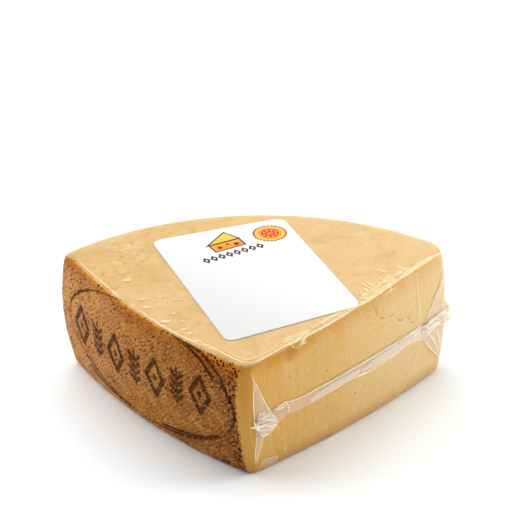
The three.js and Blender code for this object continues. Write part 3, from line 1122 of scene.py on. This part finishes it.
def sheet(one, other, lift, swell, crease, pitch, seed=1):
    """A sheet of film between two paths. It swells off the skin towards its middle, in creases."""
    one, other = as_points(one), as_points(other)
    rows = round(max(path_length(one), path_length(other)) / FOLD_STEP) + 3
    shares = np.linspace(0, 1, rows)
    left, right = points_along(one, shares), points_along(other, shares)
    columns = round(float(length_of(right - left).max()) / FOLD_STEP) + 3
    across = np.linspace(0, 1, columns)
    flat = left[:, None] + (right - left)[:, None] * across[None, :, None]
    x, y = flat[..., 0], flat[..., 1]
    inside = np.sin(across * math.pi)[None] * np.sin(shares * math.pi)[:, None]
    folds = crease * crumple(x, y, pitch, seed) * np.minimum(inside * 3, 1)
    return skin(x, y, lift + swell * inside + folds)


def sheets(pairs, seed, **look):
    """A sheet of film between each pair of paths, each with creases of its own."""
    return [sheet(*paths, seed=n + seed, **look) for n, paths in enumerate(pairs)]


PLEAT_POINTS = 8
FAN_RINGS = 26
LOWEST_FILM = 0.5


def fan(centre, spread, pleats, rise, seed, lift=0.8):
    """Pleated film drawn out from a point. The spread is pairs of a bearing, clockwise, and a reach."""
    bearings, reaches = np.array(spread, float).T
    across = np.linspace(0, 1, pleats * PLEAT_POINTS)
    share, away = np.meshgrid(across, np.linspace(0.03, 1, FAN_RINGS))
    stops = np.linspace(0, 1, len(bearings))
    bearing = np.radians(np.interp(share, stops, bearings))
    flat = np.stack([share * 5, away * 2, np.full_like(share, seed)], -1)
    wander = lumps(flat, 1, seed).reshape(share.shape)
    reach = np.interp(share, stops, reaches) * away * (1 + 0.12 * wander)
    phase = share * pleats + wander * 0.9
    ridge = 1 - 2 * np.abs(phase % 1 - 0.5)
    x = centre[0] + reach * np.cos(bearing)
    y = centre[1] + reach * np.sin(bearing)
    rough = crumple(x, y, 3.4, seed)
    height = lift + rise * np.sin(away * math.pi * 0.9) * (0.4 + 0.6 * ridge + 0.35 * rough)
    return skin(x, y, np.maximum(height, LOWEST_FILM))


def join_grids(grids):
    """Several grids of points as one list of points and one of faces."""
    points, faces, first = [], [], 0
    for grid in grids:
        rows, columns = grid.shape[:2]
        faces += grid_faces(rows, columns, first)
        points.append(grid.reshape(-1, 3))
        first += rows * columns
    return np.concatenate(points), faces


def add_film_piece(name, film, grids, *nodes):
    """A piece of loose film: the name of its material, its sheets or folds, and what it replaces."""
    piece = add_piece(name, *join_grids(grids), bpy.data.materials[film])
    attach(piece, "root")
    if nodes:
        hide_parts(*nodes)


# The welded seam along the cut face.
SEAM_TOP = (28.9, 45.2, 34, 43.6, 41, 42.9, 58, 43, 79, 43.2, 120, 42.6, 134, 42, 147, 43)
SEAM_BOTTOM = (31, 35.4, 41, 34.8, 58, 35.5, 79, 36.3, 101, 33.9, 124, 33.4, 135, 35.6, 147, 32.4)
SEAM_DOUBLED = (
    ((48, 38.6, 66, 41.2, 90, 40.2), (48, 36, 66, 36.4, 90, 36.9)),
    ((92, 38.6, 104, 41.4, 118, 41.6, 132, 41), (92, 37.4, 104, 35.2, 116, 34.6, 132, 35.6)),
    ((131, 42, 139, 42.6, 147, 42.6), (132, 35.4, 139, 34.6, 147, 33)),
)
SEAM_LINES = (
    (1, 29, 45, 34, 43.5, 41, 42.8, 58, 42.9, 79, 43.1, 120, 42.5, 140, 42.6),
    (0.5, 31, 35.6, 41, 35, 58, 35.8, 79, 36.6, 101, 34.2, 124, 33.7),
    (0.8, 29.2, 45.2, 31, 41, 30.6, 36), (1.3, 20.4, 43.6, 25.7, 42.2, 28.9, 43.2),
    (0.9, 22, 44.6, 26, 44.4, 29.4, 45.4), (1, 88, 36.8, 91, 35.2, 95, 36),
    (1, 134, 39, 137, 41.2, 141, 42), (0.9, 136, 36.4, 140, 39, 146, 39.6),
)
# A grey strip of painted shadow under the seam's bead.
SEAM_SHADOW_STRIP = (1.2, 52, 41.6, 79, 41.9, 101, 41.2, 126, 40.8)


def add_seam():
    """A flat band, folded double in places, with a bright bead along its top, partly a painted
    highlight, and a grey strip of painted shadow under that.
    """
    band = sheet(SEAM_TOP, SEAM_BOTTOM, lift=0.8, swell=0, crease=0.3, pitch=5)
    doubled = sheets(SEAM_DOUBLED, 2, lift=1.1, swell=0.2, crease=0.35, pitch=3)
    add_film_piece("seam_band", "film_single", [band], "film_seam")
    add_film_piece("seam_double", "film_layers", doubled)
    add_film_piece("seam_painted_shadow", "film_painted_shadow", [fold(*SEAM_SHADOW_STRIP, lift=1.15)])
    add_film_piece("seam_lines", "film_folds_and_glints", [fold(*line, lift=1.3) for line in SEAM_LINES])


# The film gathered at the front corner, where the seam ends.
KNOT_FOLD = 0.8  # wider folds than this are a knot's
FRONT_SHEETS = (
    ((6.3, 68.6, 5.4, 56.4, 5.4, 45.7, 5.6, 36), (6.6, 68.6, 12.2, 54.7, 17.4, 43.3, 22.4, 33.7)),
    ((7, 33, 5.4, 23, 3, 9.1), (12.2, 27, 7.9, 17.8, 3.6, 9)),
    ((16.8, 43, 22.7, 44.4, 28.9, 45.2), (16.6, 29, 24, 32, 31, 35.4)),
)
FRONT_KNOT = (5, 37.4)
FRONT_FAN = ((68, 9), (40, 10.8), (17, 13.6), (-10, 18), (-36, 15.2), (-62, 11.5))
FRONT_LINES = (
    (0.5, 6.5, 68.4, 12.2, 54.7, 17.4, 43.3, 22.4, 33.7),
    (0.6, 3.6, 76, 5.3, 67.8, 5.1, 56.4, 5.4, 45.7, 5.2, 38), (0.5, 7.5, 34, 6.4, 30, 5.4, 23, 3, 9.1),
    (0.5, 11.9, 27, 7.9, 17.8, 4, 9.4), (1.7, 2.6, 38.8, 5.6, 37.4, 10, 36, 15, 35.6),
    (1.5, 4.6, 42, 5.6, 37.6, 7.4, 33.4), (1.4, 5.4, 37.4, 9, 33.6, 13.4, 31.2),
    (1.1, 5.6, 37.8, 9.6, 40.6, 15.2, 41.8), (0.9, 7, 42.4, 12, 42.2, 17, 43),
    (1.1, 9, 38.4, 14, 39.2, 19.4, 37), (0.9, 10.4, 34.4, 16, 33.6, 21.6, 33),
    (1, 8, 31.8, 11, 28.6, 15.6, 28.4), (0.8, 13, 38.6, 13.8, 35, 13.4, 31.6),
    (0.7, 16.6, 41, 18.2, 37, 17.6, 33.6),
)


def gather_fold(width, *path):
    """A fold in a gather. The wide ones run over its knot, so they lie higher."""
    return fold(width, *path, lift=2 if width > KNOT_FOLD else 1)


def add_front_gather():
    webs = sheets(FRONT_SHEETS, 11, lift=0.7, swell=0.5, crease=0.2, pitch=5)
    knot = fan(FRONT_KNOT, FRONT_FAN, pleats=7, rise=1.5, seed=21)
    add_film_piece("front_web", "film_single", webs, "film_gather_front")
    add_film_piece("front_knot", "film_layers", [knot])
    # The folds are near white: real creased film, with painted glint.
    add_film_piece("front_folds", "film_folds_and_glints", [gather_fold(*line) for line in FRONT_LINES])


# The film gathered at the right corner, with a spare loop that stands out past it.
RIGHT_SHEETS = (
    ((178, 66.5, 171.9, 63.4, 165.4, 56.7, 158.9, 50, 150, 41.6),
     (180, 66.5, 184, 58, 188, 50, 190, 40)),
    ((149.5, 33.2, 160.6, 20.9, 176.2, 6.9), (190, 34, 188, 20, 179, 6.7)),
)
RIGHT_BAND = (
    (146, 41.4, 150.2, 41, 159.1, 41.1, 165.1, 42, 170, 41.4, 177.4, 39.8, 190, 38.6),
    (147, 32, 150.7, 34, 158.1, 35.3, 162.5, 35.8, 168.7, 34, 176.8, 30.6, 190, 33),
)
RIGHT_KNOT = (147.4, 38)
RIGHT_FAN = ((30, 9), (12, 15), (2, 22), (-12, 13), (-30, 7))
RIGHT_LINES = (
    (0.6, 177.6, 66, 171.9, 63.4, 165.4, 56.7, 158.9, 50, 152.7, 44.4),
    (0.6, 149.5, 32.8, 160.6, 20.7, 176.2, 7), (1, 147, 41.4, 152, 40.8, 159, 41, 165, 41.9, 172, 41),
    (0.9, 148.1, 32.3, 150.7, 34.1, 158.1, 35.4, 163, 35.9, 169, 34),
    (1, 150.6, 35.9, 156.4, 37.2, 162.5, 36.7, 168.6, 36.6, 175, 35.7),
    (1.2, 163.7, 40.2, 168.2, 40.6, 173, 38.8, 178, 36.4),
    (0.9, 147.2, 41.3, 151.7, 40.7, 153.4, 37.5, 150.6, 35.9), (0.9, 155, 40.6, 158, 38, 157, 35.6),
    (0.8, 160.9, 44.5, 164.1, 50.8, 169.8, 57.8, 176, 63), (0.7, 168, 44, 171.6, 51, 177, 59),
    (0.8, 156, 33, 163, 25, 170, 16), (0.8, 164, 33, 167, 26, 172.6, 15),
    (0.7, 171, 32, 174, 23, 176.8, 12),
)
LOOP_START, LOOP_END = 171, 189
LOOP_HEIGHT = 35.4
LOOP_EDGES = ((0.9, 174.3, 39.4, 178, 41, 186, 38.6), (0.9, 174, 31.6, 178, 30.2, 186, 32.4))
LOOP_RIMS = ((174.5, 3.6, 2.2), (176.6, 4.6, 3), (179, 4.2, 3.2), (182, 3.4, 2.4))


def loop_sheet(seed):
    """A bow of spare film that stands out from the right corner."""
    share, turn = np.meshgrid(np.linspace(0, 1, 34), np.linspace(0, math.pi, 22))
    bow = np.sin(share * math.pi) ** 0.6
    around = LOOP_START + (LOOP_END - LOOP_START) * share + 1.4 * np.cos(turn * 2 + seed)
    up = LOOP_HEIGHT + (2.6 + 2.2 * bow) * np.cos(turn)
    folds = crumple(around, up, 3.2, seed)
    return skin(around, up, 0.9 + 2.8 * bow * np.sin(turn) + 0.5 * folds * bow)


def loop_rim(around, half_height, reach):
    """A flat edge of film that stands up from the skin in a bow."""
    turn = np.linspace(0, math.pi, 24)[:, None]
    width = np.array([-0.35, 0.35])
    uneven = 1 + 0.15 * np.sin(turn * 5 + around)
    up = LOOP_HEIGHT + (half_height * uneven + width) * np.cos(turn)
    return skin(around + 0.5 * np.cos(turn * 3), up, 1 + (reach * uneven + width) * np.sin(turn))


def add_right_gather():
    webs = sheets(RIGHT_SHEETS, 31, lift=0.7, swell=0.7, crease=0.25, pitch=6)
    band = sheet(*RIGHT_BAND, lift=1, swell=0.6, crease=1, pitch=2.6, seed=41)
    knot = fan(RIGHT_KNOT, RIGHT_FAN, pleats=6, rise=1.2, seed=42, lift=1.1)
    folds = [gather_fold(*line) for line in RIGHT_LINES]
    folds += [fold(*edge, lift=3) for edge in LOOP_EDGES]
    folds += [loop_rim(*size) for size in LOOP_RIMS]
    add_film_piece("right_web", "film_single", webs, "film_gather_right")
    add_film_piece("right_knot", "film_layers", [band, knot, loop_sheet(1)])
    # The folds are near white: real creased film, with painted glint.
    add_film_piece("right_folds", "film_folds_and_glints", folds)


# The weld along the rind face and the rim, and creases, in cream film whose brightness is painted
# highlight.
WELD_WIDTH = 0.4
SIDE_WELD = (
    (-168, 43, -131, 42.2, -104, 38.4),
    (-99, 37.8, -80, 37.4, -52, 40),
    (-47, 40.4, -24.5, 43.3, -2, 39, 4, 37.8),
    (191, 38, 250, 41, 310, 40, 370, 41.5, WHOLE_ROUND - 172, 43),
)
FACE_CREASES = (
    (0.6, 146.9, 77.6, 145.6, 67.8, 146.2, 56, 147.6, 43),
    (0.6, 148.7, 32, 146.6, 26.3, 141.6, 17.2, 130, 4),
    (0.7, 5.6, 4.6, 8.1, 7.2, 11.5, 8.9, 17.1, 7.9, 21.2, 7.7),
)
# Small folds low on the cut face and here and there above them, bright cream as painted glints.
GLINT_WIDTH = 0.8
FACE_GLINTS = (
    (24.6, 60, 26.6, 61.6), (45, 58.8, 47.4, 60.4), (68.2, 31, 70.2, 32.2), (41.5, 15.6, 45.8, 15.9),
    (52.4, 17.4, 55.9, 18.1), (61, 2, 75, 1.6), (111.9, 7.4, 115.3, 5.2), (120.7, 6.6, 124.7, 7.4),
    (126.7, 7.2, 130.7, 7.6), (26.8, 12.4, 27.4, 8.2), (30.6, 30.8, 31.2, 28), (36.4, 52, 37.8, 50.6),
)
TORN_FLAP = (
    (5.4, 4.6, 8.1, 7, 11.5, 8.7, 17.1, 7.7, 21.2, 7.5),
    (5.2, 3.9, 8.6, 3.2, 14, 2.6, 20, 2.8),
)
# Folds of film along the near top edges, cream where they stand for the highlight of the film turning
# over the edge: painted highlight.
EDGE_HIGHLIGHT_BANDS = (
    (1, -28.5, 83.5, -19.5, 82.7, -8.5, 82.2, 3, 81.6),
    (1.2, 3, 80.4, 9.4, 79.8, 17.8, 80.2, 27.4, 80.6, 35.9, 81),
    (1.3, 39, 79.9, 57, 79.9, 79, 80, 93, 80.2),
    (2, 88, 80.2, 105, 80.1, 119, 80.4, 136, 80.1),
    (2.4, 133, 80, 145, 80.1, 157, 79.7, 167, 79, 180, 76),
)
EDGE_LINES = (
    (0.5, -160, 80.6, -130, 80.8, -104, 80.4), (0.6, -96, 80.9, -70, 80.3, -47, 80.5, -23, 81.7),
    (0.6, -24, 86.6, -11, 84.6, -1, 84.8, 7.3, 83, 16.1, 82, 26.6, 82.4, 35.2, 82.6),
    (0.6, -44, 83.4, -28, 82.8, -16.9, 82.5, -6.2, 82.3, 2, 81.4),
    (0.9, 27.4, 80.4, 34.4, 80.2, 39.9, 79.9, 47.5, 81.2, 51.5, 81.9),
    (0.7, 53.1, 83.1, 61.8, 82.6, 72.2, 82.6, 82.5, 81.4, 92.3, 80.6),
    (0.6, 50.9, 79.8, 68.1, 79.7, 81.4, 79.8, 94.4, 80),
    (0.6, 95.2, 79.5, 107.3, 79.4, 120.9, 79.7, 131.5, 79.4),
    (0.6, 101.8, 85, 106.6, 83.6, 115, 82, 123.2, 80.2), (0.9, 122, 86, 125, 83, 130, 80.4),
    (0.8, 116.6, 82.6, 121, 84.6, 128, 84), (0.8, 134, 84.6, 138, 82.6, 141, 80.2),
)
EDGE_GLOSS = (
    ((101.8, 84.4, 108, 85, 122, 86, 132.5, 85), (102, 80.4, 116.6, 80.6, 124, 80, 130, 80.4)),
    ((134.1, 84, 140, 84.2, 147, 83), (135, 80.6, 140, 80.2, 145, 80.2)),
    ((33, 84.4, 40.3, 85.4, 47, 84.9, 54, 82.6), (33.6, 81.6, 38.3, 80.4, 45, 80.2, 53, 80.6)),
    ((64, 83.6, 76, 84.2, 88, 82.8), (64, 80.8, 76, 80.4, 88, 80.4)),
)
# Short wrinkles on the top, in x and y, bright cream as painted glints.
WRINKLES = (
    (25.2, 24, 31.4, 24), (21.8, 26.2, 26.3, 33.7), (29.1, 25.1, 35.4, 30.4), (31.4, 27.2, 36.5, 35.8),
    (24, 23, 33, 33), (27, 30, 35, 36), (66.7, 71.6, 74.2, 76), (68.3, 69.4, 76.6, 79.3),
    (65.1, 79.3, 71.9, 74.9), (67, 90.4, 72.7, 83.2), (69.2, 92, 75.5, 85.6), (67.8, 84.8, 71.8, 80),
    (69.9, 87.2, 73.9, 82.4), (65.7, 82.4, 70.7, 75.8), (66.8, 78, 69.8, 73.7),
    (76.1, 105.7, 82.3, 101.4), (76.8, 100.9, 81, 100.1), (81.3, 96.5, 85.8, 92.8),
    (82.2, 98.5, 85.1, 96.5), (82.4, 90.4, 84.8, 86.4), (87, 108.1, 91.1, 105.7),
    (87.3, 103, 92.7, 100.1), (88.7, 109.8, 93.6, 104.1), (78, 96, 82.4, 90.4),
    (85.1, 97.6, 86.6, 90.4), (79.6, 93.6, 84.2, 96), (79.4, 80.3, 87.2, 90.3),
)
# Small pockets of air under the film, bright cream as painted highlights: x, y, length and width.
AIR_POCKETS = (
    (-67.8, 93, 5.5, 2.6), (-56.3, 63.3, 5, 2.2), (-45.2, 48.1, 6.5, 3), (-40.2, 56.8, 3, 1.6),
    (-35.5, 48.1, 3.2, 1.8), (-34.3, 39.5, 3.4, 1.8), (-30.8, 35.2, 3.6, 1.8), (-58.2, 72.1, 4, 1.6),
    (-48.5, 75.3, 3, 1.2), (-38.6, 72, 6, 0.8), (-27, 27, 5, 1.4), (-22, 22.6, 5.6, 1.2),
)


def wrinkle_fold(n, path):
    return fold(0.5 + 0.2 * (n % 4), *path, place=on_top, lift=0.7)


def air_pocket(x, y, length, width):
    start, end = x - length / 2, x + length / 2
    return fold(width, start, y - 0.4, end, y + 0.4, place=on_top, lift=0.45)


def add_face_folds():
    glints = [fold(GLINT_WIDTH, *path) for path in FACE_GLINTS]
    add_film_piece("side_weld", "film_creases_and_sheen", [fold(WELD_WIDTH, *path) for path in SIDE_WELD])
    add_film_piece("face_creases", "film_glints", [fold(*crease) for crease in FACE_CREASES])
    add_film_piece("face_glints", "film_glints", glints)


def add_edge_folds():
    gloss = sheets(EDGE_GLOSS, 51, lift=0.7, swell=0.2, crease=0.35, pitch=3.2)
    lines = [fold(*line, lift=0.7) for line in EDGE_LINES]
    wrinkles = [wrinkle_fold(n, path) for n, path in enumerate(WRINKLES)]
    add_film_piece("edge_highlight_bands", "film_edge_highlights", [fold(*band) for band in EDGE_HIGHLIGHT_BANDS])
    add_film_piece("edge_gloss", "film_creases_and_sheen", gloss)
    add_film_piece("edge_lines", "film_glints", lines)
    add_film_piece("edge_wrinkles", "film_glints", wrinkles)
    add_film_piece("air_pockets", "film_edge_highlights", [air_pocket(*pocket) for pocket in AIR_POCKETS])


def add_torn_flap():
    flap = sheet(*TORN_FLAP, lift=0.7, swell=0.4, crease=0.3, pitch=3, seed=61)
    add_film_piece("torn_flap", "film_single", [flap])


# ---------------- the label

LABEL_CORNERS = np.array([(-54.9, 137.6), (-9.9, 25.7), (67, 65.8), (22.1, 164.3)])
LABEL_WIDTH = np.linalg.norm(LABEL_CORNERS[3] - LABEL_CORNERS[0])
LABEL_LENGTH = np.linalg.norm(LABEL_CORNERS[1] - LABEL_CORNERS[0])
LABEL_ROUNDING = 6
LABEL_ROWS = 90
LABEL_LIFTS = (FILM_LIFT - 0.05, FILM_LIFT - 0.15)
LABEL_WAVES, LABEL_BENDS = 0.04, 45  # height and length of its waves


def label_shares():
    """Each point's place on the sheet, across and along, as shares of its width and length."""
    shares = np.linspace(0, 1, LABEL_ROWS)
    along, across = np.meshgrid(shares, shares, indexing="ij")
    # Near its ends each row of the sheet is shortened by the rounding of the corners.
    from_end = np.minimum(along, 1 - along) * LABEL_LENGTH
    inset = bend_inset(LABEL_ROUNDING, LABEL_ROUNDING - from_end) / LABEL_WIDTH
    return inset + across * (1 - 2 * inset), along


def label_faces():
    """The faces of the sheet: its upper side, its lower side and its rim."""
    count = LABEL_ROWS * LABEL_ROWS
    faces = [face[::-1] for face in grid_faces(LABEL_ROWS, LABEL_ROWS)]
    faces += grid_faces(LABEL_ROWS, LABEL_ROWS, count)
    index = np.arange(count).reshape(LABEL_ROWS, LABEL_ROWS)
    rim = np.concatenate([index[0, :-1], index[:-1, -1], index[-1, :0:-1], index[:0:-1, 0]])
    following = np.roll(rim, -1)
    return faces + np.stack([rim, following, following + count, rim + count], 1).tolist()


def add_label(material):
    """A sheet of paper with rounded corners, which bends down where it reaches past the edge."""
    across, along = label_shares()
    shares = ((1 - across) * (1 - along), (1 - across) * along, across * along, across * (1 - along))
    flat = sum(corner * share[..., None] for corner, share in zip(LABEL_CORNERS, shares))
    bends = lumps(np.dstack([flat, flat[..., :1] * 0]), LABEL_BENDS, 2).reshape(across.shape)
    x, y = flat[..., 0], flat[..., 1]
    sides = np.stack([on_top(x, y, LABEL_WAVES * bends + lift) for lift in LABEL_LIFTS])
    piece = add_piece("label_sheet", sides, label_faces(), material)
    corners = read(piece.data.loops, "vertex_index", kind=np.int32)
    places = np.stack([across * LABEL_WIDTH, -along * LABEL_LENGTH], -1).reshape(-1, 2)
    add_map(piece.data, "sheet", places[corners % len(places)])
    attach(piece, "root")
    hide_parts("label")


# ---------------- floor and light

FLOOR_REACH = 15  # m
FLOOR_GAP = 0.1
WORLD_FRONT = 0.3
WORLD_BACK = 0.9
WORLD_CHANGE = (-0.7, 0.3)  # from the front towards the back, between -1 and 1
LIGHTS = (
    # name, place in m, size in m, watts
    ("top_softbox", (-0.35, 0.55, 1.35), 1.3, 11),
    ("left_softbox", (-1.5, 0.25, 0.6), 1, 12),
    ("right_softbox", (1.45, 0.35, 0.55), 1, 16),
)


def add_floor(material):
    mesh = bpy.data.meshes.new("floor")
    ends = (-FLOOR_REACH, FLOOR_REACH)
    mesh.from_pydata([(x, y, 0) for y in ends for x in ends], [], [(0, 1, 3, 2)])
    mesh.materials.append(material)
    floor = add_object("floor", mesh)
    floor.location.z = cad_box[0][2] - FLOOR_GAP * MM


def add_world():
    """White all round, and dimmer in front of the object, as in a light tent open to the camera."""
    world = bpy.data.worlds.new("world")
    world.use_nodes = True
    tree = world.node_tree
    background = tree.nodes["Background"]
    _, depth, _ = separate(new_field(tree, "TexCoord", output="Generated"))
    strength = depth.fade(*WORLD_CHANGE, WORLD_FRONT, WORLD_BACK)
    join(tree, strength, background.inputs["Strength"])
    background.inputs["Color"].default_value = (1, 1, 1, 1)
    bpy.context.scene.world = world


def add_lights():
    target = Vector((0, 0, HEIGHT / 2 * MM))
    for name, place, size, power in LIGHTS:
        data = bpy.data.lights.new(name, "AREA")
        data.shape = "SQUARE"
        data.size = size
        data.energy = power
        light = add_object(name, data)
        light.location = place
        light.rotation_euler = (target - light.location).to_track_quat("-Z", "Y").to_euler()


# ---------------- the scene

add_camera()
add_world()
add_lights()
add_floor(floor_material())
bpy.context.scene.view_settings.view_transform = "Standard"

add_cheese(cheese_material())
add_film_skin(film_material())
add_loose_film()
add_seam()
add_front_gather()
add_right_gather()
add_face_folds()
add_edge_folds()
add_torn_flap()
add_label(label_material())
